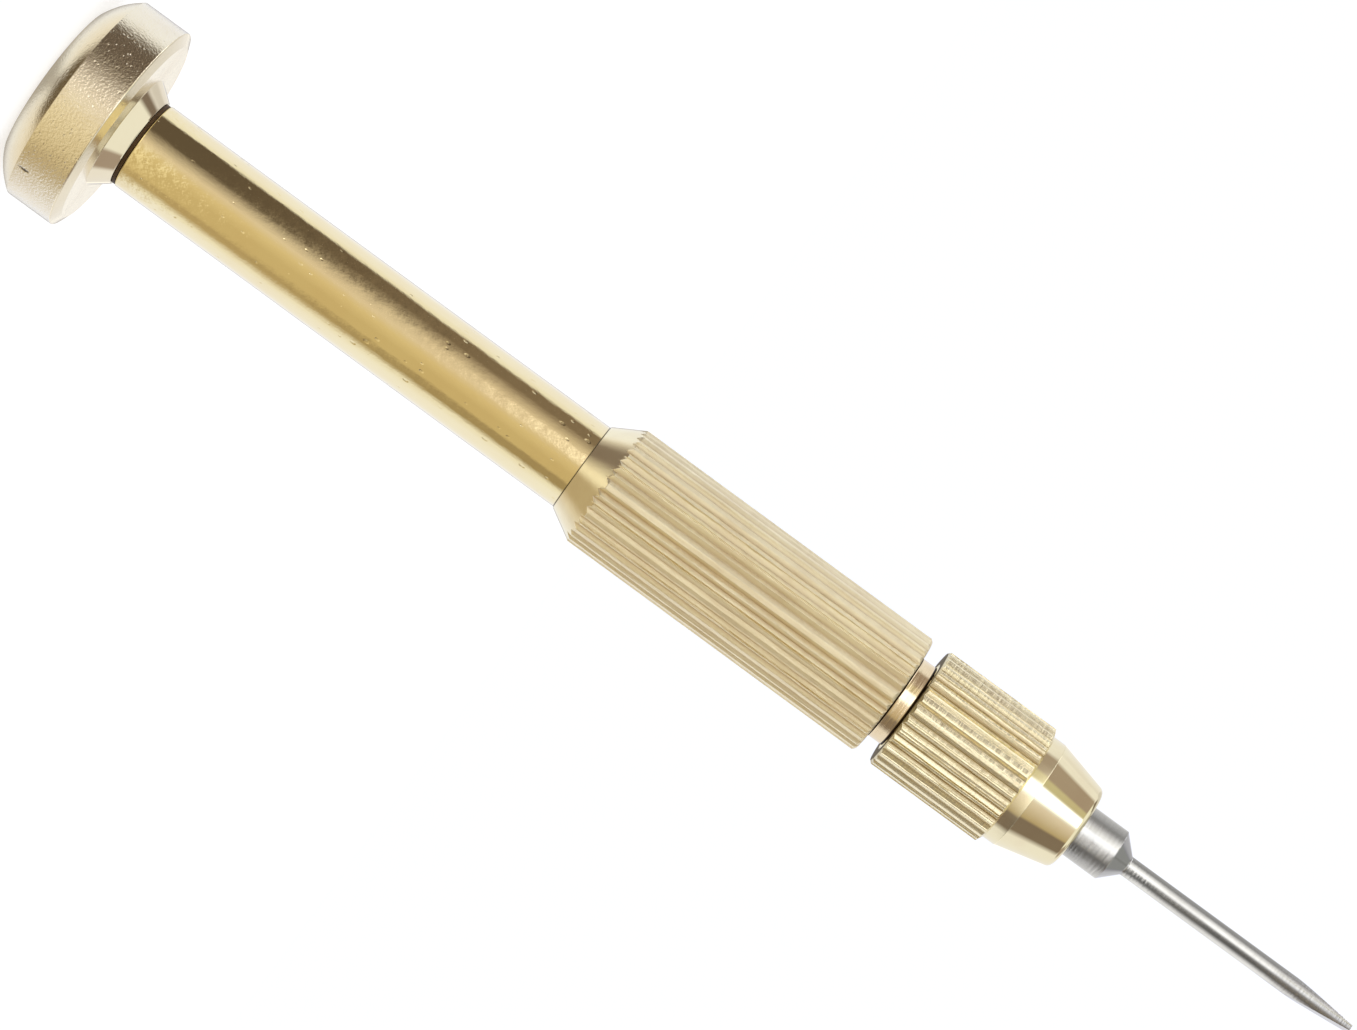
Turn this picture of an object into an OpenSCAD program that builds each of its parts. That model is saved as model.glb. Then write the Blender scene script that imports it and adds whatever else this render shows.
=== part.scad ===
// Watchmaker's screwdriver with a swivelling finger head and a collet chuck.
// It stands on the rim of its finger head with the blade pointing up +Z, and the
// origin is the centre of that rim. All sizes are in millimetres.

/* [Finger head] */
// Diameter across the band
head_d = 12.8; // [11.4:0.1:14]
// Outer diameter of the flat rim that the head stands on
rim_d = 9.2; // [8.6:0.1:10]
// Width of the flat rim round the finger dish
rim_w = 0.3; // [0.2:0.05:0.6]
// Depth of the finger dish
dish_depth = 1; // [0.5:0.1:1.4]
// Height of the crowned edge between rim and band
crown_h = 1.5; // [1.2:0.1:2]
// Radius of the crowned edge
crown_r = 4.5; // [2.6:0.1:6]
// Height of the straight band
band_h = 2.85; // [2.4:0.05:4]
// Height of the chamfer at the band's front edge
band_chamfer_h = 0.3; // [0.1:0.05:0.6]
// Width of that chamfer, measured radially
band_chamfer_w = 0.7; // [0.3:0.05:1]
// Diameter of the neck where it leaves the head
neck_base_d = 7; // [6.4:0.1:8]
// Diameter of the neck at its end
neck_end_d = 5.5; // [5.3:0.1:6]
// Height of the conical neck
neck_h = 1; // [0.6:0.1:1.8]

/* [Swivel] */
// Diameter of the steel swivel pin
pin_d = 2; // [1.8:0.1:2.2]
// Length of the pin that is pressed into the head
pin_seat = 3.2; // [2.4:0.1:3.4]
// Length of the swivel bush
bush_len = 5; // [3.5:0.5:8]
// Diameter of the thrust washer
washer_d = 5.2; // [4.6:0.1:5.3]
// Thickness of the thrust washer
washer_t = 0.2; // [0.15:0.05:0.4]
// Outer diameter of the retaining ring
ring_d = 3.1; // [2.9:0.1:3.5]
// Thickness of the retaining ring
ring_t = 0.35; // [0.25:0.05:0.5]
// Width of the opening in the retaining ring
ring_open = 1.1; // [0.8:0.1:1.4]
// Depth of the pin's groove for the ring
groove_depth = 0.22; // [0.15:0.01:0.3]
// Length of the pin beyond the ring
pin_end = 0.6; // [0.4:0.1:1]

/* [Barrel] */
// Outer diameter of the polished barrel
barrel_d = 5.3; // [5.1:0.1:5.8]
// Wall of the barrel tube
barrel_wall = 0.65; // [0.5:0.05:0.8]
// Length of the barrel that shows between the swivel and the grip
barrel_show = 29.6; // [22:0.2:40]
// Length of the barrel inside the grip
barrel_seat = 10; // [6:0.5:12]

/* [Grip] */
// Diameter over the knurl of the grip
grip_d = 7.44; // [7.1:0.02:9]
// Length of the grip with its chamfer
grip_len = 21; // [18:0.5:30]
// Diameter where the grip's chamfer starts, at the barrel
grip_start_d = 5.44; // [5.4:0.02:6]
// Slope of the grip's chamfer to the axis, in degrees
grip_slope = 30; // [25:1:45]
// Number of grooves round the grip and round the nut
knurl_count = 34; // [28:1:40]
// Depth of the grooves
knurl_depth = 0.16; // [0.08:0.02:0.22]
// Share of the pitch that stays as crest
knurl_crest = 0.6; // [0.4:0.05:0.7]
// Share of the pitch that is the groove's floor
knurl_floor = 0.12; // [0.05:0.01:0.2]

/* [Chuck] */
// Diameter of the plain neck ring between grip and nut
neck_ring_d = 5.16; // [5.1:0.02:5.3]
// Length of the plain neck ring
neck_ring_len = 1.05; // [0.8:0.05:2]
// Width of the countersinks in the grip and the nut on each side of the neck ring
countersink = 0.3; // [0.1:0.05:0.4]
// Outer diameter of the chuck's male thread
thread_d = 5; // [4.8:0.05:5.05]
// Pitch of the thread
thread_pitch = 0.5; // [0.35:0.05:0.5]
// Depth of the thread
thread_depth = 0.25; // [0.15:0.01:0.3]
// Number of turns on the chuck
thread_turns = 8; // [6:1:8]
// Length of the plain groove behind the thread
thread_relief = 0.3; // [0.2:0.05:0.5]
// Free depth of the chuck's bore behind the blade
bore_spare = 2; // [0.5:0.5:3]

/* [Collet] */
// Diameter of the collet's tail
collet_tail_d = 3; // [2.8:0.05:3.2]
// Length of the collet's tail
collet_tail_len = 4.5; // [4.1:0.1:5]
// Diameter of the collet's head
collet_head_d = 4.3; // [4.2:0.05:4.4]
// Length of the collet's head up to its taper
collet_head_len = 3.3; // [3:0.1:3.5]
// Length of the collet's taper
collet_taper_len = 2.6; // [2.2:0.1:3]
// Diameter at the taper's front end
collet_front_d = 3.46; // [3.3:0.02:3.6]
// Width of the collet's slots
slot_w = 0.3; // [0.2:0.05:0.4]
// Depth of the slots from the collet's front end
slot_depth = 6.9; // [6:0.1:8]

/* [Collet nut] */
// Diameter over the knurl of the nut
nut_d = 7.5; // [7.2:0.02:8.4]
// Length of the nut's knurl
nut_knurl_len = 7.3; // [7:0.1:9]
// Depth of the nut's threaded hole
nut_thread_len = 5.6; // [5:0.1:6]
// Diameter of the polished land in front of the knurl
land_d = 6.7; // [6.4:0.1:7]
// Length of the polished land
land_len = 0.8; // [0.6:0.1:1]
// Length of the conical nose
nose_len = 3.2; // [3:0.1:4]
// Slope of the nose to the axis, in degrees
nose_slope = 14; // [8:1:15]
// Radius of the nose's rounded front edge
nose_round = 0.4; // [0.2:0.05:0.5]

/* [Blade] */
// Diameter of the blade's tail, which the collet grips
tail_d = 2; // [1.8:0.05:2.1]
// Length of the tail
tail_len = 12; // [10:0.5:13]
// Diameter of the collar
collar_d = 3.16; // [3.1:0.02:3.3]
// Length of the collar, without its shoulder
collar_len = 3.4; // [2.6:0.1:5]
// Slope of the collar's shoulder to the axis, in degrees
shoulder_slope = 45; // [35:1:60]
// Diameter of the shaft, which is also the width of the edge
shaft_d = 1.2; // [0.8:0.05:1.8]
// Length of the shaft from the shoulder to the edge
shaft_len = 15; // [10:0.5:25]
// Length of the two ground flats
grind_len = 4; // [2:0.25:6]
// Thickness of the edge
edge_t = 0.33; // [0.15:0.01:0.5]
// Turn of the two flats about the axis, in degrees, as the blade happens to sit in the collet
flats_turn = -10; // [-45:1:45]

/* [Fits] */
// Radial gap of the swivel pin in its bush
swivel_gap = 0.04; // [0.02:0.01:0.08]
// Radial gap of the collet in the chuck
collet_gap = 0.03; // [0.02:0.01:0.06]
// Radial gap of the blade's tail in the closed collet
grip_gap = 0.02; // [0.01:0.01:0.05]
// Radial gap of the blade's collar in the nut
collar_gap = 0.05; // [0.03:0.01:0.08]
// Radial gap between the two threads' crests
thread_gap = 0.05; // [0.03:0.01:0.08]
// Radial gap between the collet and the nut's inner taper
taper_gap = 0.06; // [0.03:0.01:0.08]
// Gap between faces that bear on each other and move
face_gap = 0.025; // [0.01:0.005:0.05]
// Radial gap at seats that are pressed or glued
seat_gap = 0.01; // [0.005:0.005:0.02]

/* [Hidden] */
$fn = 96;

edge_break = 0.1;
knurl_chamfer = 0.15;
cut_over = 1;

// Heights of the pieces, stacked up from the rim
head_top = crown_h + band_h + band_chamfer_h;
neck_top = head_top + neck_h;
washer_z = neck_top + face_gap;
barrel_z = washer_z + washer_t + face_gap;
bush_top = barrel_z + bush_len;
ring_z = bush_top + face_gap;
pin_top = ring_z + ring_t + face_gap + pin_end;
grip_z = barrel_z + barrel_show;
grip_top = grip_z + grip_len;
chuck_z = grip_z + barrel_seat;
nut_z = grip_top + neck_ring_len;
thread_z = nut_z + thread_relief;
chuck_top = thread_z + thread_turns * thread_pitch;
collet_z = chuck_top + face_gap;
taper_z = collet_z + collet_head_len;
collet_top = taper_z + collet_taper_len;
land_z = nut_z + nut_knurl_len;
nose_z = land_z + land_len;
nut_top = nose_z + nose_len;
collar_z = collet_top + face_gap;
shoulder_z = collar_z + collar_len;
shaft_z = shoulder_z + (collar_d - shaft_d) / 2 / tan(shoulder_slope);
tip_z = shaft_z + shaft_len;

// Diameters that follow from a mating piece
barrel_bore_d = barrel_d - 2 * barrel_wall;
grip_bore_d = barrel_d + 2 * seat_gap;
pin_bore_d = pin_d + 2 * swivel_gap;
groove_d = pin_d - 2 * groove_depth;
thread_root_d = thread_d - 2 * thread_depth;
collet_bore_d = tail_d + 2 * grip_gap;
nut_thread_d = thread_d + 2 * thread_gap;
nut_chamber_d = collet_head_d + 2 * taper_gap;

// A solid of revolution about +Z from an outline of [radius, height] points
module turned(outline) rotate_extrude() polygon(outline);

// A hole on the axis from one height to another
module hole(d, z0, z1) translate([0, 0, z0]) cylinder(d = d, h = z1 - z0);

// Outline of a straight knurl: each tooth is a crest, a flank down and a groove's floor
function knurl_outline(d) = [
    for (i = [0:knurl_count - 1], corner = [
        [-knurl_crest, 0], [knurl_crest, 0], [1 - knurl_floor, knurl_depth], [1 + knurl_floor, knurl_depth]
    ])
        let (turn = (i + corner[0] / 2) * 360 / knurl_count)
            (d / 2 - corner[1]) * [cos(turn), sin(turn)]
];

// A countersink round a hole's mouth, which opens towards +Z or, turned over, -Z
module mouth(d, z, over = false)
    translate([0, 0, z]) mirror([0, 0, over ? 1 : 0])
        translate([0, 0, -countersink]) cylinder(d1 = d, d2 = d + 2 * countersink + 2 * cut_over,
            h = countersink + cut_over);

// A knurled bar inside the turned outline that it was cut from
module knurled(d, z, length, outline)
    intersection() {
        translate([0, 0, z]) linear_extrude(length) polygon(knurl_outline(d));
        turned(outline);
    }

// The crowned edge is an arc from the rim to the band
module crown_profile() {
    run = (head_d - rim_d) / 2;
    chord = sqrt(run * run + crown_h * crown_h);
    reach = sqrt(crown_r * crown_r - chord * chord / 4);
    centre_r = (head_d + rim_d) / 4 - reach * crown_h / chord;
    centre_z = crown_h / 2 + reach * run / chord;
    translate([centre_r, centre_z]) circle(r = crown_r);
    square([centre_r, head_top]);
    translate([0, crown_h]) square([head_d, neck_top]);
}

module finger_head() {
    dish_mouth = rim_d / 2 - rim_w;
    dish_r = (dish_mouth * dish_mouth + dish_depth * dish_depth) / (2 * dish_depth);
    color("goldenrod") difference() {
        rotate_extrude() intersection() {
            polygon([
                [0, 0], [head_d / 2, 0], [head_d / 2, head_top - band_chamfer_h],
                [head_d / 2 - band_chamfer_w, head_top], [neck_base_d / 2, head_top],
                [neck_end_d / 2, neck_top - edge_break], [neck_end_d / 2 - edge_break, neck_top],
                [0, neck_top]
            ]);
            crown_profile();
        }
        translate([0, 0, dish_depth - dish_r]) sphere(r = dish_r);
        hole(pin_d + 2 * seat_gap, neck_top - pin_seat, neck_top + cut_over);
    }
}

module swivel_pin() {
    pin_r = pin_d / 2;
    pin_z = neck_top - pin_seat;
    color("silver") turned([
        [0, pin_z], [pin_r - edge_break, pin_z], [pin_r, pin_z + edge_break],
        [pin_r, ring_z - face_gap], [groove_d / 2, ring_z - face_gap],
        [groove_d / 2, ring_z + ring_t + face_gap], [pin_r, ring_z + ring_t + face_gap],
        [pin_r, pin_top - edge_break], [pin_r - edge_break, pin_top], [0, pin_top]
    ]);
}

module thrust_washer()
    color("dimgray") difference() {
        hole(washer_d, washer_z, washer_z + washer_t);
        hole(pin_bore_d, washer_z - cut_over, washer_z + washer_t + cut_over);
    }

module swivel_bush()
    color("peru") difference() {
        hole(barrel_bore_d - 2 * seat_gap, barrel_z, bush_top);
        hole(pin_bore_d, barrel_z - cut_over, bush_top + cut_over);
    }

module retaining_ring()
    color("gray") difference() {
        hole(ring_d, ring_z, ring_z + ring_t);
        hole(groove_d + 2 * seat_gap, ring_z - cut_over, ring_z + ring_t + cut_over);
        translate([0, -ring_open / 2, ring_z - cut_over])
            cube([ring_d, ring_open, ring_t + 2 * cut_over]);
    }

module barrel()
    color("gold") difference() {
        turned([
            [0, barrel_z], [barrel_d / 2 - edge_break, barrel_z],
            [barrel_d / 2, barrel_z + edge_break], [barrel_d / 2, chuck_z], [0, chuck_z]
        ]);
        hole(barrel_bore_d, barrel_z - cut_over, chuck_z + cut_over);
    }

module grip() {
    slope_h = (grip_d - grip_start_d) / 2 / tan(grip_slope);
    color("darkkhaki") difference() {
        knurled(grip_d, grip_z, grip_len, [
            [0, grip_z], [grip_start_d / 2, grip_z], [grip_d / 2, grip_z + slope_h],
            [grip_d / 2, grip_top - knurl_chamfer], [grip_d / 2 - knurl_chamfer, grip_top],
            [0, grip_top]
        ]);
        hole(grip_bore_d, grip_z - cut_over, grip_top + cut_over);
        mouth(grip_bore_d, grip_top);
    }
}

// The thread is drawn as rings of the same pitch, with its crests clear of the nut's
module chuck_body() {
    thread_r = thread_d / 2;
    root_r = thread_root_d / 2;
    tail_r = barrel_d / 2;
    blade_end = collar_z - tail_len;
    color("gold") difference() {
        turned(concat(
            [
                [0, chuck_z + seat_gap], [tail_r, chuck_z + seat_gap], [tail_r, grip_top - edge_break],
                [neck_ring_d / 2, grip_top], [neck_ring_d / 2, nut_z], [root_r, nut_z],
                [root_r, thread_z]
            ],
            [
                for (i = [0:thread_turns - 1], corner = [[0.5, 1], [1, 0]])
                    [root_r + thread_depth * corner[1], thread_z + (i + corner[0]) * thread_pitch]
            ],
            [[0, chuck_top]]
        ));
        hole(tail_d + 4 * collet_gap, blade_end - bore_spare, chuck_top + cut_over);
        hole(collet_tail_d + 2 * collet_gap, collet_z - collet_tail_len - face_gap, chuck_top + cut_over);
    }
}

module collet() {
    tail_z = collet_z - collet_tail_len;
    color("orange") difference() {
        turned([
            [0, tail_z], [collet_tail_d / 2, tail_z], [collet_tail_d / 2, collet_z],
            [collet_head_d / 2, collet_z], [collet_head_d / 2, taper_z],
            [collet_front_d / 2, collet_top], [0, collet_top]
        ]);
        hole(collet_bore_d, tail_z - cut_over, collet_top + cut_over);
        for (turn = [0, 90])
            rotate(turn) translate([-collet_head_d, -slot_w / 2, collet_top - slot_depth])
                cube([2 * collet_head_d, slot_w, slot_depth + cut_over]);
    }
}

module collet_nut() {
    nut_r = nut_d / 2;
    nose_r = land_d / 2 - (nose_len - nose_round) * tan(nose_slope);
    lip_d = collar_d + 2 * collar_gap;
    color("gold") difference() {
        union() {
            knurled(nut_d, nut_z, nut_knurl_len, [
                [0, nut_z], [nut_r - knurl_chamfer, nut_z], [nut_r, nut_z + knurl_chamfer],
                [nut_r, land_z - knurl_chamfer], [nut_r - 2 * knurl_chamfer, land_z], [0, land_z]
            ]);
            turned([
                [0, land_z - cut_over], [land_d / 2, land_z - cut_over], [land_d / 2, nose_z],
                [nose_r, nut_top - nose_round], [0, nut_top - nose_round]
            ]);
            rotate_extrude() intersection() {
                translate([nose_r - nose_round, nut_top - nose_round]) circle(r = nose_round);
                translate([0, nut_top - nose_round]) square([land_d, nose_round]);
            }
            hole(2 * (nose_r - nose_round), land_z, nut_top);
        }
        hole(nut_thread_d, nut_z - cut_over, nut_z + nut_thread_len);
        mouth(nut_thread_d, nut_z, over = true);
        hole(nut_chamber_d, nut_z, taper_z);
        turned([
            [0, taper_z - face_gap], [nut_chamber_d / 2, taper_z - face_gap], [nut_chamber_d / 2, taper_z],
            [collet_front_d / 2 + taper_gap, collet_top], [0, collet_top]
        ]);
        hole(lip_d, taper_z, nut_top + cut_over);
    }
}

module blade() {
    shaft_r = shaft_d / 2;
    grind_z = tip_z - grind_len;
    color("lightsteelblue") intersection() {
        turned([
            [0, collar_z - tail_len], [tail_d / 2 - edge_break, collar_z - tail_len],
            [tail_d / 2, collar_z - tail_len + edge_break], [tail_d / 2, collar_z],
            [collar_d / 2, collar_z], [collar_d / 2, shoulder_z], [shaft_r, shaft_z],
            [shaft_r, tip_z], [0, tip_z]
        ]);
        rotate(flats_turn) rotate([90, 0, 0]) linear_extrude(2 * collar_d, center = true) polygon([
            [-collar_d, 0], [collar_d, 0], [collar_d, shaft_z], [shaft_r, grind_z],
            [edge_t / 2, tip_z], [-edge_t / 2, tip_z], [-shaft_r, grind_z], [-collar_d, shaft_z]
        ]);
    }
}

finger_head();
swivel_pin();
thrust_washer();
swivel_bush();
retaining_ring();
barrel();
grip();
chuck_body();
collet();
collet_nut();
blade();
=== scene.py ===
import math

import bmesh
import bpy
from mathutils import Matrix, Vector


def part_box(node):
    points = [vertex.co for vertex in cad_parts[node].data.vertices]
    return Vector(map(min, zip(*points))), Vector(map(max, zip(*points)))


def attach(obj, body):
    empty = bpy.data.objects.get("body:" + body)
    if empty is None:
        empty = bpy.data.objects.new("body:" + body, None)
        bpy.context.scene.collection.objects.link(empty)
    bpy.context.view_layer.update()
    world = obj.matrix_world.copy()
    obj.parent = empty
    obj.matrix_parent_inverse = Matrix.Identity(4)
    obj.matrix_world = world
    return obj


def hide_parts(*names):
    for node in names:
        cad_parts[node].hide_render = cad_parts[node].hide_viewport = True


# Watchmaker's screwdriver. It stands on its finger head with the blade up, and the camera is
# rolled, so that the tool runs from the picture's top left to its bottom right.
# Outlines and sizes are in millimetres, and the lathe tree makes metres of them.

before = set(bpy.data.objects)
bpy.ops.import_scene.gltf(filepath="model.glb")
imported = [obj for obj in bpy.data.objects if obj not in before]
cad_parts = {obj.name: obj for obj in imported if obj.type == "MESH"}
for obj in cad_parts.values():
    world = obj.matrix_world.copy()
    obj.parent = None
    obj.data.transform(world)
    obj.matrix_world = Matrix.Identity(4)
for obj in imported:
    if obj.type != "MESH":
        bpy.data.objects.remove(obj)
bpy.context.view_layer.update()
millimetre = 0.001
scene = bpy.context.scene


# Small helpers for all node trees

def addNode(tree, kind, inputs=None, **settings):
    node = tree.nodes.new(kind)
    for name, value in settings.items():
        setattr(node, name, value)
    for name, value in (inputs or {}).items():
        if isinstance(value, bpy.types.NodeSocket):
            tree.links.new(value, node.inputs[name])
        else:
            node.inputs[name].default_value = value
    return node


def maths(tree, operation, *values):
    return addNode(tree, "ShaderNodeMath", dict(enumerate(values)), operation=operation).outputs[0]


def ease(tree, value, low, high, start=0.0, end=1.0):
    # Goes smoothly from start to end while value goes from low to high
    inputs = {0: value, 1: low, 2: high, 3: start, 4: end}
    return addNode(tree, "ShaderNodeMapRange", inputs, interpolation_type="SMOOTHSTEP").outputs[0]


def mixColour(tree, share, first, second):
    inputs = {0: share, 6: first, 7: second}
    return addNode(tree, "ShaderNodeMix", inputs, data_type="RGBA").outputs[2]


def newGroup(name, kind, inputs, outputs):
    tree = bpy.data.node_groups.new(name, kind)
    for label, socket in inputs.items():
        tree.interface.new_socket(name=label, in_out="INPUT", socket_type="NodeSocket" + socket)
    for label, socket in outputs.items():
        tree.interface.new_socket(name=label, in_out="OUTPUT", socket_type="NodeSocket" + socket)
    return tree, addNode(tree, "NodeGroupInput").outputs, addNode(tree, "NodeGroupOutput").inputs


# Camera, level with the middle of the tool

cameraLook = {
    "place": (-0.0010, -0.2620, 0.04125),
    "lens": 127.7,
    "roll": 36.21,          # degrees
    "clipStart": 0.01,
}


def makeCamera(look):
    eye = bpy.data.objects.new("camera", bpy.data.cameras.new("camera"))
    scene.collection.objects.link(eye)
    roll = math.radians(look["roll"])
    right = Vector((-math.sin(roll), 0, math.cos(roll)))
    up = Vector((-math.cos(roll), 0, -math.sin(roll)))
    turn = Matrix((right, up, right.cross(up))).transposed()
    eye.matrix_world = Matrix.Translation(look["place"]) @ turn.to_4x4()
    eye.data.lens = look["lens"]
    eye.data.clip_start = look["clipStart"]
    scene.camera = eye


# Studio: a white world, a pale floor, and a tent that only the metal and the floor see.
# Each ring of the tent has sheets at angles round the tool, 0 on the camera's side and +90 at +X.
# Colours run over from one to the next, and a number stands for that much plain white.
# The sheets' places and colours were worked out from tones measured in the photograph: report.md
# tells how, under what went against the message.

studio = {
    "white": (1.0, 1.02, 1.12, 1),
    "tentRadius": 30.0,
    "floorRadius": 3.0,
    "segments": 96,          # round the tent and the floor
    "floorColour": (0.5, 0.5, 0.505, 1),
    "floorRoughness": 0.9,
    "floorGlow": 0.68,       # added for the camera only, which makes the lit floor white
    "rings": [               # elevation in degrees, and the piece that mirrors this ring
        (-42, "gripFoot"), (-32, "band"), (-8.4, "band"), (-7.0, "barrelFoot"), (-2.0, "barrelTop"),
        (4.3, "nose"), (5.45, "nose"), (5.75, "collar"), (6.55, "collar"), (6.75, "shaft"), (9.3, "shaft"),
        (9.9, "nose"), (34, "nose"), (42, "neck"),
    ],
    "stops": {               # of each ring: angle, and what stands there
        "gripFoot": [
            (-172, "grey"), (-160, "white"), (-118, "ivory"), (-86, "umber"), (-52, "umber"),
            (-8, "cream"), (6, "cream"), (30, "tan"), (85, "tan"), (120, "ivory"), (160, "white"),
            (172, "grey"),
        ],
        "band": [
            (-172, "grey"), (-160, "white"), (-99, "white"), (-91, "dark"), (-46, "dark"), (-13, "rose"),
            (2, "ivory"), (20, "cream"), (60, "sand"), (88, "tan"), (135, "pearl"), (160, "white"),
            (172, "grey"),
        ],
        "barrelFoot": [
            (-172, "grey"), (-160, "sky"), (-112, "sky"), (-97, "white"), (-90, "dark"), (-43, "dark"),
            (-23, "stone"), (-10, "rose"), (6, "sand"), (30, "honey"), (60, "honey"), (68, "tan"),
            (80, "tan"), (98, "white"), (112, "sky"), (160, "sky"), (172, "grey"),
        ],
        "barrelTop": [
            (-172, "grey"), (-160, "sky"), (-112, "sky"), (-95, "white"), (-87, "umber"), (-62, "umber"),
            (-29, "rose"), (-8, "rose"), (10, "sand"), (30, "honey"), (51, "honey"), (57, "olive"),
            (73, "olive"), (86, "white"), (105, "sky"), (160, "sky"), (172, "grey"),
        ],
        "nose": [
            (-98, "pearl"), (-88, "brown"), (-52, "brown"), (-46, "moss"), (-34, "moss"), (-30, "white"),
            (0, "white"), (7, "rose"), (44, "tan"), (50, "umber"), (82, "umber"), (97, "pearl"),
        ],
        "collar": [
            (-172, 1.2), (-150, 0.9), (-115, 0.82), (-84, 0.44), (-70, 0.48), (-38, 1.9), (-20, 2.4),
            (2, 2.5), (22, 1.7), (51, 0.3), (62, 0.12), (84, 0.1), (106, 0.42), (125, 0.82), (172, 1.2),
        ],
        "shaft": [
            (-172, 1.2), (-150, 0.7), (-100, 0.5), (-86, 0.48), (-78, 0.6), (-36, 2.05), (-20, 2.3),
            (-12, 2.0), (6, 0.52), (22, 0.2), (44, 0.18), (56, 0.42), (84, 1.28), (105, 1.6), (172, 1.2),
        ],
        "neck": [
            (-132, "pearl"), (-123, "umber"), (-98, "umber"), (-88, "mint"), (66, "mint"),
            (76, "brown"), (112, "brown"), (134, "pearl"),
        ],
    },
    "colours": {             # of the sheets and cards
        "white": (0.96, 1.0, 1.1), "sky": (1.0, 1.07, 1.33), "pearl": (0.93, 0.94, 1.0),
        "mint": (0.95, 0.97, 0.95), "ivory": (0.97, 0.93, 0.87), "cream": (1.02, 0.95, 0.76),
        "rose": (0.81, 0.74, 0.69), "sand": (0.77, 0.67, 0.46), "honey": (0.66, 0.56, 0.36),
        "moss": (0.62, 0.58, 0.4), "stone": (0.59, 0.54, 0.52), "tan": (0.52, 0.43, 0.28),
        "grey": (0.45, 0.43, 0.42), "olive": (0.41, 0.34, 0.22), "brown": (0.42, 0.35, 0.31),
        "umber": (0.235, 0.19, 0.16), "dark": (0.13, 0.105, 0.09),
    },
    "cap": (59.5, 62, "mint"),      # over the rings, between these elevations, comes a pale cap
    "cards": [               # one above the nut, and one that shades the blade's shoulder on the left
        {"sides": (-36, -24, 58, 74), "height": (9.9, 11.5, 21, 24), "share": 0.95, "colour": "umber"},
        {"sides": (-168, -158, -128, -112), "height": (16, 24, 44, 60), "share": 0.4, "colour": "grey"},
    ],
    "softboxes": [
        {"sides": (-31, -26, -8, 3), "height": (-3.5, 4.3, 5.35, 5.7), "glow": 1.3},
        {"sides": (-31, -26, -8, 3), "height": (23, 27, 44, 50), "glow": 1.3},
        {"sides": (-118, -98, -50, -36), "height": (9.9, 11.5, 18, 22), "glow": 2.0},
    ],
    "ground": {              # elevations between which it ends; at the turn, front goes over to behind
        "colour": (0.11, 0.075, 0.038, 1), "front": (-72, -65), "behind": (-87, -79),
        "turn": (100, 130),
    },
    "zenith": {              # elevations from which it darkens, over what width and to what share
        "front": 69, "behind": 44, "width": 18, "share": 0.5, "turn": (95, 125),
    },
}


def sheetColour(look, sheet):
    return (*look["colours"][sheet], 1) if isinstance(sheet, str) else (sheet, sheet, sheet, 1)


def colourRing(tree, angle, stops, look):
    share = maths(tree, "MULTIPLY_ADD", angle, 1 / 360, 0.5)
    node = addNode(tree, "ShaderNodeValToRGB", {0: share})
    ramp = node.color_ramp
    while len(ramp.elements) < len(stops):
        ramp.elements.new(1.0)
    for element, (degrees, sheet) in zip(ramp.elements, stops):
        element.position = degrees / 360 + 0.5
        element.color = sheetColour(look, sheet)
    return node.outputs[0]


def window(tree, value, edges):
    # 1 between the middle two edges, and 0 outside the outer two
    rise = ease(tree, value, edges[0], edges[1])
    return maths(tree, "MULTIPLY", rise, ease(tree, value, edges[2], edges[3], 1.0, 0.0))


def inside(tree, angle, height, panel):
    sideways = window(tree, angle, panel["sides"])
    return maths(tree, "MULTIPLY", sideways, window(tree, height, panel["height"]))


def newMaterial(name):
    material = bpy.data.materials.new(name)
    material.use_nodes = True
    return material, material.node_tree


def tentMaterial(look):
    material, tree = newMaterial("tent")
    material.cycles.emission_sampling = "NONE"
    tree.nodes.clear()
    place = addNode(tree, "ShaderNodeTexCoord").outputs["Object"]
    x, y, z = addNode(tree, "ShaderNodeSeparateXYZ", {0: place}).outputs
    squares = [maths(tree, "POWER", value, 2.0) for value in (x, y)]
    level = maths(tree, "SQRT", maths(tree, "ADD", *squares))
    angle = maths(tree, "DEGREES", maths(tree, "ARCTAN2", x, maths(tree, "MULTIPLY", y, -1.0)))
    height = maths(tree, "DEGREES", maths(tree, "ARCTAN2", z, level))
    rings = {name: colourRing(tree, angle, stops, look) for name, stops in look["stops"].items()}
    (below, lowest), *others = look["rings"]
    colour = rings[lowest]
    for above, name in others:
        colour = mixColour(tree, ease(tree, height, below, above), colour, rings[name])
        below = above
    below, above, pale = look["cap"]
    colour = mixColour(tree, ease(tree, height, below, above), colour, sheetColour(look, pale))
    for card in look["cards"]:
        share = maths(tree, "MULTIPLY", inside(tree, angle, height, card), card["share"])
        colour = mixColour(tree, share, colour, sheetColour(look, card["colour"]))
    strength = 1.0
    for box in look["softboxes"]:
        glow = inside(tree, angle, height, box)
        colour = mixColour(tree, glow, colour, sheetColour(look, "white"))
        strength = maths(tree, "MULTIPLY_ADD", glow, box["glow"], strength)
    behind = maths(tree, "ABSOLUTE", angle)
    ground, zenith = look["ground"], look["zenith"]
    edges = zip(ground["front"], ground["behind"])
    low, high = [ease(tree, behind, *ground["turn"], *pair) for pair in edges]
    colour = mixColour(tree, ease(tree, height, low, high, 1.0, 0.0), colour, ground["colour"])
    darkFrom = ease(tree, behind, *zenith["turn"], zenith["front"], zenith["behind"])
    over = maths(tree, "SUBTRACT", height, darkFrom)
    darkened = ease(tree, over, 0.0, zenith["width"], 1.0, zenith["share"])
    strength = maths(tree, "MULTIPLY", strength, darkened)
    emission = addNode(tree, "ShaderNodeEmission", {"Color": colour, "Strength": strength})
    addNode(tree, "ShaderNodeOutputMaterial", {"Surface": emission.outputs[0]})
    return material


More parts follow.
